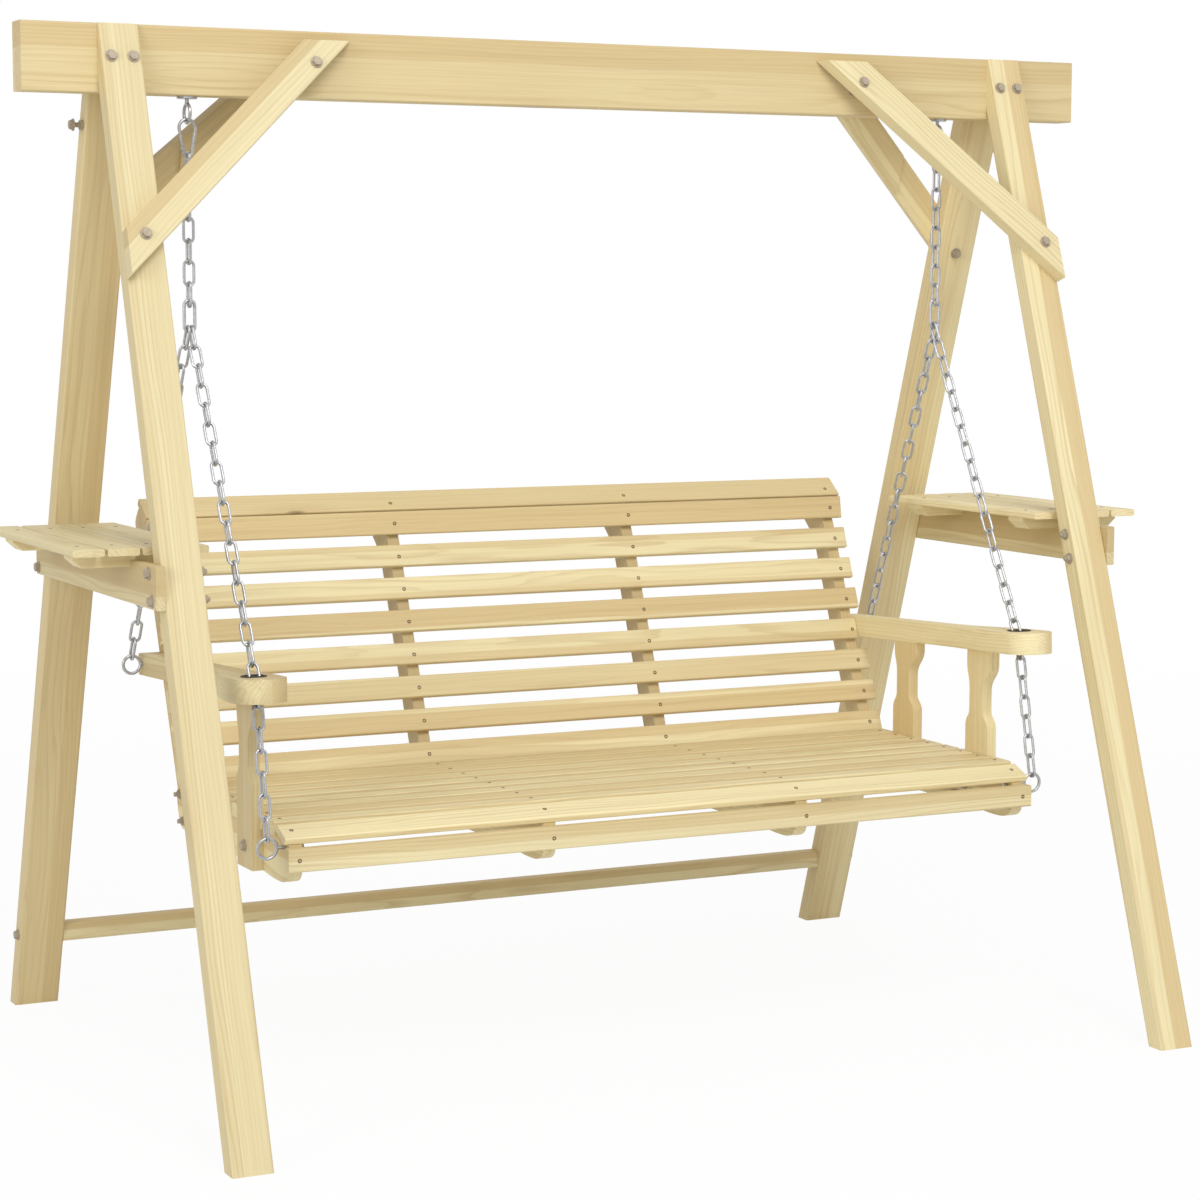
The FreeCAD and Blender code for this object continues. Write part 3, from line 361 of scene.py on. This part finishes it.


# Pine: growth rings round a wandering pith behind the board, heartwood, fibres, a few knots, and a per-board
# brightness that also paints light and shade
def pine_group():
    group = bpy.data.node_groups.new("pine_grain", "ShaderNodeTree")
    for name in ("Along", "Across", "Depth", "Seed", "Tan", "Edge", "ToneAndPaintedLight", "Core"):
        group.interface.new_socket(name, in_out="INPUT", socket_type="NodeSocketFloat")
    group.interface.new_socket("Color", in_out="OUTPUT", socket_type="NodeSocketColor")
    group.interface.new_socket("Roughness", in_out="OUTPUT", socket_type="NodeSocketFloat")
    group.interface.new_socket("Height", in_out="OUTPUT", socket_type="NodeSocketFloat")
    tree = Tree(group)
    given = tree.add("NodeGroupInput").outputs
    across, depth = given["Across"], given["Depth"]
    dice = tree.add("ShaderNodeTexWhiteNoise", noise_dimensions="1D")
    tree.plug(given["Seed"], dice.inputs["W"])
    red, green, blue = tree.split(dice.outputs["Color"])
    along = tree.math("ADD", given["Along"], tree.math("MULTIPLY", given["Seed"], SEED_STRIDE))
    point = (along, across, depth)

    # Distance from the pith
    drift = tree.centred(tree.grain(point, *DRIFT), DRIFT_REACH)
    bow = tree.centred(tree.grain(point, *BOW), BOW_REACH)
    side = tree.math("ADD", tree.math("SUBTRACT", across, tree.centred(red, PITH_SPREAD)), drift)
    back = tree.math("ADD", tree.math("ADD", depth, tree.line(green, *PITH_DEPTH)), bow)
    squares = tree.math("ADD", tree.math("POWER", side, 2.0), tree.math("POWER", back, 2.0))
    radius = tree.math("SQRT", squares)

    # Dark latewood line at the end of each year
    sway = tree.grain(point, *SWAY)
    rings = tree.math("MULTIPLY", radius, RINGS_PER_METRE)
    year = tree.math("FRACT", tree.math("ADD", rings, tree.math("MULTIPLY", sway, RING_SWAY)))
    late = tree.math("MULTIPLY", tree.step(year, *LATE_RISE), tree.rest(tree.step(year, *LATE_FALL)))

    # Heartwood round the pith and in the band
    heart_at = tree.line(blue, *HEART_RADIUS)
    inner = tree.math("SUBTRACT", heart_at, HEART_BLUR)
    outer = tree.math("ADD", heart_at, HEART_BLUR)
    heart = tree.rest(tree.step(radius, inner, outer))
    beside = tree.math("ADD", across, tree.math("MULTIPLY", drift, BAND_DRIFT))
    band = tree.step(tree.math("SUBTRACT", beside, given["Edge"]), -BAND_BLUR, BAND_BLUR)
    heart = tree.math("MAXIMUM", tree.math("MULTIPLY", heart, given["Core"]), band)
    heart = tree.math("MULTIPLY", heart, given["Tan"])

    # Fibres, clouds and veins
    fibre = tree.grain(point, *FIBRE)
    calm = tree.math("ADD", given["Core"], 1.0 - CORE)
    cloud = tree.step(tree.grain(point, *CLOUD), *CLOUD_STEP)
    cloud = tree.math("MULTIPLY", cloud, tree.math("MULTIPLY", tree.line(given["Tan"], *CLOUD_SHARE), calm))
    vein = tree.step(tree.grain(point, *VEIN), *VEIN_STEP)
    vein = tree.math("MULTIPLY", vein, tree.math("MULTIPLY", tree.line(given["Tan"], *VEIN_SHARE), calm))

    # Knots with a halo
    cells = tree.add("ShaderNodeTexVoronoi", feature="F1", voronoi_dimensions="3D")
    tree.plug(tree.waves((along, across, back), KNOT_CELLS), cells.inputs["Vector"])
    cells.inputs["Scale"].default_value = 1.0
    chosen = tree.math("GREATER_THAN", tree.split(cells.outputs["Color"])[0], KNOT_CHANCE)
    knot = tree.math("MULTIPLY", tree.rest(tree.step(cells.outputs["Distance"], *KNOT_STEP)), chosen)
    halo = tree.math("MULTIPLY", tree.rest(tree.step(cells.outputs["Distance"], *HALO_STEP)), chosen)

    colour = tree.mix(heart, SAPWOOD, HEARTWOOD)
    late_share = tree.line(tree.step(sway, *LATE_STEP), *LATE_SHARE)
    colour = tree.mix(tree.math("MULTIPLY", late, late_share), colour, LATEWOOD)
    colour = tree.mix(cloud, colour, HEARTWOOD)
    colour = tree.mix(vein, colour, LATEWOOD)
    colour = tree.mix(tree.math("MULTIPLY", halo, HALO_SHARE), colour, LATEWOOD)
    colour = tree.mix(tree.math("MULTIPLY", knot, KNOT_SHARE), colour, KNOT)
    shade = tree.math("MULTIPLY", tree.line(fibre, *FIBRE_SHADE), tree.line(blue, *BOARD_SHADE))
    # Per-board brightness, partly the board's own tone and partly painted light and shade
    shade = tree.math("MULTIPLY", shade, given["ToneAndPaintedLight"])
    colour = tree.mix(1.0, colour, tree.combine(shade, shade, shade), "MULTIPLY")

    out = tree.add("NodeGroupOutput")
    tree.plug(colour, out.inputs["Color"])
    rough = tree.math("SUBTRACT", tree.line(fibre, *WOOD_ROUGHNESS), tree.math("MULTIPLY", late, LATE_GLOSS))
    tree.plug(rough, out.inputs["Roughness"])
    fibre_height = tree.math("MULTIPLY", fibre, FIBRE_HEIGHT)
    tree.plug(tree.math("ADD", fibre_height, tree.math("MULTIPLY", late, LATE_HEIGHT)), out.inputs["Height"])
    return group


PINE = pine_group()


# One board, or rows of boards from a start with a pitch across the grain
def pine(name, grain, band, seed, rows=None):
    material, tree, shader = new_material("pine_" + name)
    centre = middle_of(name)
    across, tan, edge = band
    grain = grain.normalized()
    across = (across - grain * across.dot(grain)).normalized()
    depth = across.cross(grain)
    place = tree.add("ShaderNodeTexCoord").outputs["Object"]
    grown = tree.add("ShaderNodeGroup", node_tree=PINE)
    tree.plug(tree.math("SUBTRACT", tree.dot(place, grain), centre.dot(grain)), grown.inputs["Along"])
    tree.plug(tree.math("SUBTRACT", tree.dot(place, depth), centre.dot(depth)), grown.inputs["Depth"])
    crosswise = tree.dot(place, across)
    wide = tree.math("SUBTRACT", crosswise, centre.dot(across))
    grown.inputs["Tan"].default_value = tan
    grown.inputs["Edge"].default_value = edge
    # Per-board brightness, partly painted light and shade
    grown.inputs["ToneAndPaintedLight"].default_value = BOARD_TONES_AND_PAINTED_LIGHT.get(name, 1.0)
    grown.inputs["Core"].default_value = BOARD_CORES.get(name, CORE)
    if rows:
        start, pitch = rows
        rank = tree.math("FLOOR", tree.math("DIVIDE", tree.math("SUBTRACT", crosswise, start), pitch))
        wide = tree.math("SUBTRACT", wide, tree.line(rank, pitch, start + pitch / 2 - centre.dot(across)))
        tree.plug(tree.math("ADD", rank, seed), grown.inputs["Seed"])
    else:
        grown.inputs["Seed"].default_value = seed
    tree.plug(wide, grown.inputs["Across"])
    tree.plug(grown.outputs["Color"], shader.inputs["Base Color"])
    tree.plug(grown.outputs["Roughness"], shader.inputs["Roughness"])
    shader.inputs["Specular IOR Level"].default_value = WOOD_SPECULAR
    tree.bump(shader, grown.outputs["Height"], *WOOD_BUMP)
    return material


def zinc(name, light, dark, wear, metallic, rough):
    material, tree, shader = new_material(name)
    place = tree.add("ShaderNodeTexCoord").outputs["Object"]
    spangle = tree.add("ShaderNodeTexVoronoi", feature="F1")
    tree.plug(place, spangle.inputs["Vector"])
    spangle.inputs["Scale"].default_value = SPANGLE_SCALE
    flake = tree.math("MULTIPLY", tree.split(spangle.outputs["Color"])[0], SPANGLE_SHARE)
    haze = tree.noise(place, *WEAR_NOISE)
    worn = tree.math("ADD", flake, tree.math("MULTIPLY", haze, wear))
    tree.plug(tree.mix(worn, light, dark), shader.inputs["Base Color"])
    shader.inputs["Metallic"].default_value = metallic
    tree.plug(tree.line(haze, WEAR_ROUGHNESS, rough), shader.inputs["Roughness"])
    tree.bump(shader, haze, *METAL_BUMP)
    return material


def bush_plastic():
    material, tree, shader = new_material("bush_plastic")
    place = tree.add("ShaderNodeTexCoord").outputs["Object"]
    mould = tree.noise(place, *MOULD_NOISE)
    tree.plug(tree.mix(mould, BUSH_DARK, BUSH_LIGHT), shader.inputs["Base Color"])
    tree.plug(tree.line(mould, *MOULD_ROUGHNESS), shader.inputs["Roughness"])
    return material


def dress(name, material, soften=0.0):
    piece = nodes[name]
    piece.data.materials.clear()
    piece.data.materials.append(material)
    if soften:
        weld = piece.modifiers.new("weld", "WELD")
        weld.merge_threshold = WELD_REACH
        bevel = piece.modifiers.new("soft_edges", "BEVEL")
        bevel.width = soften
        bevel.segments = EDGE_SEGMENTS
        bevel.limit_method = "ANGLE"
        bevel.angle_limit = EDGE_ANGLE


# Wood: each board gets its own grain direction, band and seed, in this order
boards = [("top_beam", X, BEAM_BAND), ("rear_stretcher", X, STRETCHER_BAND)]
for side_name, side in SIDES:
    for end_name, end in ENDS:
        corner = side_name + "_" + end_name
        boards.append((corner + "_leg", Vector((0, -end * LEG_SLOPE, 1)), LEG_BANDS[corner]))
        run = Vector((-side * BRACE_RUN[0], -end * BRACE_LEAN * BRACE_RUN[1], BRACE_RUN[1]))
        brace_across = Vector((0, end, BRACE_LEAN)).cross(run)
        boards.append((corner + "_brace", run, (brace_across, *BRACE_BANDS_AND_SHADOW[corner])))
        boards.append((corner + "_post", Z, (Y, *POST_BANDS[corner])))
    boards.append((side_name + "_table_rail", Y, RAIL_BAND))
    boards.append((side_name + "_arm", Vector((0, 1, -math.tan(ARM_RAKE))), (X, *ARM_BANDS[side_name])))
    for frame_name in ("end", "middle"):
        boards.append((side_name + "_" + frame_name + "_joist", Y, JOIST_BAND))
        boards.append((side_name + "_" + frame_name + "_upright", BACK_UP, UPRIGHT_PAINTED_SHADE_BAND))
for number, band in enumerate(BACK_SLAT_BANDS, 1):
    boards.append(("back_slat_" + str(number), X, band))
boards.append(("seat_nose_slat", X, NOSE_BAND))
boards.append(("seat_apron", X, APRON_BAND))
seed = FIRST_SEED
for name, grain, band in boards:
    seed += SEED_STEP
    dress(name, pine(name, grain, band, seed), BOARD_EDGE)


# Start and pitch of a row of slats with gaps
def slat_rows(low, high, count, gap):
    return low - gap / 2, (high - low + gap) / count


seat_low, seat_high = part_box("seat_slats")
seat_rows = slat_rows(seat_low.y, seat_high.y, SEAT_SLATS, SEAT_GAP)
dress("seat_slats", pine("seat_slats", X, SEAT_BAND, SEAT_SEED, seat_rows))
table_rows = {}
for side_name, table_seed in TABLE_SEEDS.items():
    name = side_name + "_table_slats"
    low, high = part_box(name)
    table_rows[name] = slat_rows(low.x, high.x, TABLE_SLATS, TABLE_GAP)
    dress(name, pine(name, Y, TABLE_BAND, table_seed, table_rows[name]))
dress("table_battens", pine("table_battens", X, BATTEN_BAND, BATTEN_SEED, BATTEN_ROWS), BATTEN_EDGE)

# Metal and plastic
chain_zinc = zinc("chain_zinc", *CHAIN_FINISH)
bolt_zinc_and_painted_shade = zinc("bolt_zinc_and_painted_shade", *BOLT_FINISH_AND_PAINTED_SHADE)
screw_zinc = zinc("screw_zinc", *SCREW_FINISH)
for name in ("upper_chain", "front_chain", "rear_chain", "snap_hook", "snap_gate"):
    for side_name, _ in SIDES:
        dress(side_name + "_" + name, chain_zinc)
for name in ("beam_eyes", "junction_rings", "seat_eyes", "arm_eyes"):
    dress(name, chain_zinc)
dress("stand_bolts", bolt_zinc_and_painted_shade, METAL_EDGE)
dress("bench_bolts", bolt_zinc_and_painted_shade, METAL_EDGE)
dress("arm_bushes", bush_plastic(), METAL_EDGE)


def stand_on(at, normal):
    return Matrix.Translation(at) @ Z.rotation_difference(normal).to_matrix().to_4x4()


# A low dome with a cross recess
def screw_head(mesh, at, normal):
    place = stand_on(at, normal)
    rings = []
    centre = mesh.verts.new(place @ Vector((0, 0, SCREW_DOME - CROSS_CENTRE_DEPTH)))
    for ring in range(1, SCREW_RINGS + 1):
        reach = SCREW_RADIUS * ring / SCREW_RINGS
        row = []
        for spoke in range(SCREW_SPOKES):
            angle = 2 * math.pi * (spoke + 0.5) / SCREW_SPOKES
            x, y = reach * math.cos(angle), reach * math.sin(angle)
            z = SCREW_DOME * (1 - (reach / SCREW_RADIUS) ** 2)
            if min(abs(x), abs(y)) < CROSS_HALF_WIDTH and reach < CROSS_REACH:
                z -= CROSS_DEPTH
            row.append(mesh.verts.new(place @ Vector((x, y, z))))
        rings.append(row)
    rim = [mesh.verts.new(vertex.co - normal * SCREW_SKIRT) for vertex in rings[-1]]
    rings.append(rim)
    for spoke in range(SCREW_SPOKES):
        after = (spoke + 1) % SCREW_SPOKES
        mesh.faces.new((centre, rings[0][spoke], rings[0][after]))
        for inner, outer in zip(rings, rings[1:]):
            mesh.faces.new((inner[spoke], outer[spoke], outer[after], inner[after]))
    mesh.faces.new(list(reversed(rim)))


# A closed stack of rings, round or six-sided
def turned(mesh, place, rings, sides):
    rows = []
    for reach, height in rings:
        row = []
        for index in range(sides):
            angle = 2 * math.pi * index / sides
            corner = Vector((reach * math.cos(angle), reach * math.sin(angle), height))
            row.append(mesh.verts.new(place @ corner))
        rows.append(row)
    for lower, upper in zip(rows, rows[1:]):
        for index in range(sides):
            after = (index + 1) % sides
            mesh.faces.new((lower[index], lower[after], upper[after], upper[index]))
    mesh.faces.new(list(reversed(rows[0])))
    mesh.faces.new(rows[-1])


def add_piece(name, mesh, material, body):
    data = bpy.data.meshes.new(name)
    mesh.to_mesh(data)
    mesh.free()
    piece = bpy.data.objects.new(name, data)
    scene.collection.objects.link(piece)
    data.materials.append(material)
    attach(piece, body)


# Screw heads are set where a ray meets the board
def screws(name, body, places):
    mesh = bmesh.new()
    for target, start, direction in places:
        hit, at, normal, _ = nodes[target].ray_cast(start, direction)
        if hit:
            screw_head(mesh, at, normal)
    add_piece(name, mesh, screw_zinc, body)


places = []
for number in range(1, len(BACK_SLAT_BANDS) + 1):
    name = "back_slat_" + str(number)
    middle = middle_of(name)
    for x in FRAME_X:
        places.append((name, Vector((x, middle.y - RAY_STANDOFF, middle.z)), Y))
above_seat = seat_high.z + RAY_STANDOFF
for index in range(SEAT_SLATS):
    y = seat_rows[0] + (index + 0.5) * seat_rows[1]
    for x in FRAME_X:
        places.append(("seat_slats", Vector((x, y, above_seat)), -Z))
nose_middle, apron_middle = middle_of("seat_nose_slat"), middle_of("seat_apron")
for x in FRAME_X:
    places.append(("seat_nose_slat", Vector((x, nose_middle.y, above_seat)), -Z))
    places.append(("seat_apron", Vector((x, apron_middle.y - RAY_STANDOFF, apron_middle.z)), Y))
screws("bench_screws", "bench", places)

places = []
for name, (start, pitch) in table_rows.items():
    above_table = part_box(name)[1].z + RAY_STANDOFF
    for index in range(TABLE_SLATS):
        for y in TABLE_SCREW_Y:
            places.append((name, Vector((start + (index + 0.5) * pitch, y, above_table)), -Z))
screws("table_screws", "stand", places)

# Nuts with washers and bolt ends on the front legs' inner faces
mesh = bmesh.new()
for side_name, side in SIDES:
    for index, (y, z) in enumerate(NUT_PLACES):
        start = Vector((side * NUT_RAY_X, y, z))
        hit, at, normal, _ = nodes[side_name + "_front_leg"].ray_cast(start, X * side)
        if hit:
            place = stand_on(at, normal) @ Matrix.Rotation(NUT_TURN + NUT_TURN_STEP * index, 4, "Z")
            turned(mesh, place, WASHER_RINGS, WASHER_SIDES)
            turned(mesh, place, NUT_RINGS, NUT_SIDES)
            turned(mesh, place, THREAD_RINGS, THREAD_SIDES)
add_piece("table_rail_nuts", mesh, bolt_zinc_and_painted_shade, "stand")

# Floor: white to the camera and to reflections, thinner near the object so that its shadow shows
corners = [(-FLOOR_REACH, -FLOOR_REACH, 0), (FLOOR_REACH, -FLOOR_REACH, 0),
           (FLOOR_REACH, FLOOR_REACH, 0), (-FLOOR_REACH, FLOOR_REACH, 0)]
floor_mesh = bpy.data.meshes.new("floor")
floor_mesh.from_pydata(corners, [], [(0, 1, 2, 3)])
floor = bpy.data.objects.new("floor", floor_mesh)
scene.collection.objects.link(floor)
material, tree, shader = new_material("floor_white")
shader.inputs["Base Color"].default_value = FLOOR
shader.inputs["Roughness"].default_value = FLOOR_ROUGHNESS
glow = tree.add("ShaderNodeEmission")
glow.inputs["Strength"].default_value = 1.0
away = tree.add("ShaderNodeVectorMath", operation="LENGTH")
tree.plug(tree.add("ShaderNodeTexCoord").outputs["Object"], away.inputs[0])
fade = tree.step(away.outputs["Value"], *WHITE_FADE)
cover = tree.line(fade, 1.0 - WHITE_COVER, WHITE_COVER)
blend = tree.add("ShaderNodeMixShader")
tree.plug(tree.math("MULTIPLY", tree.seen(), cover), blend.inputs[0])
tree.plug(shader.outputs[0], blend.inputs[1])
tree.plug(glow.outputs[0], blend.inputs[2])
tree.plug(blend.outputs[0], material.node_tree.nodes["Material Output"].inputs["Surface"])
floor.data.materials.append(material)

# World: white to the camera and to reflections, a softer light on the object
world = bpy.data.worlds.new("studio")
scene.world = world
world.use_nodes = True
tree = Tree(world.node_tree)
sky = world.node_tree.nodes["Background"]
sky.inputs["Color"].default_value = WHITE
tree.plug(tree.line(tree.seen(), 1.0 - AMBIENT, AMBIENT), sky.inputs["Strength"])


def soft_box(name, at, aim, size, power):
    lamp = bpy.data.lights.new(name, "AREA")
    lamp.shape = "DISK"
    lamp.size = size
    lamp.energy = power
    item = bpy.data.objects.new(name, lamp)
    item.location = at
    item.rotation_euler = (Vector(aim) - Vector(at)).to_track_quat("-Z", "Y").to_euler()
    scene.collection.objects.link(item)


soft_box("key", *KEY_LAMP)
soft_box("fill", *FILL_LAMP)

# Camera
lens = bpy.data.cameras.new("camera")
lens.lens = CAMERA_LENS
lens.sensor_width = SENSOR_WIDTH
camera = bpy.data.objects.new("camera", lens)
scene.collection.objects.link(camera)
level = Vector((math.sin(CAMERA_YAW), math.cos(CAMERA_YAW), 0))
forward = level * math.cos(CAMERA_PITCH) - Z * math.sin(CAMERA_PITCH)
right = Vector((math.cos(CAMERA_YAW), -math.sin(CAMERA_YAW), 0))
up = right.cross(forward)
right, up = (right * math.cos(CAMERA_ROLL) + up * math.sin(CAMERA_ROLL),
             up * math.cos(CAMERA_ROLL) - right * math.sin(CAMERA_ROLL))
turn = Matrix((right, up, -forward)).transposed().to_4x4()
camera.matrix_world = Matrix.Translation(CAMERA_AT) @ turn
scene.camera = camera
scene.view_settings.view_transform = "Standard"
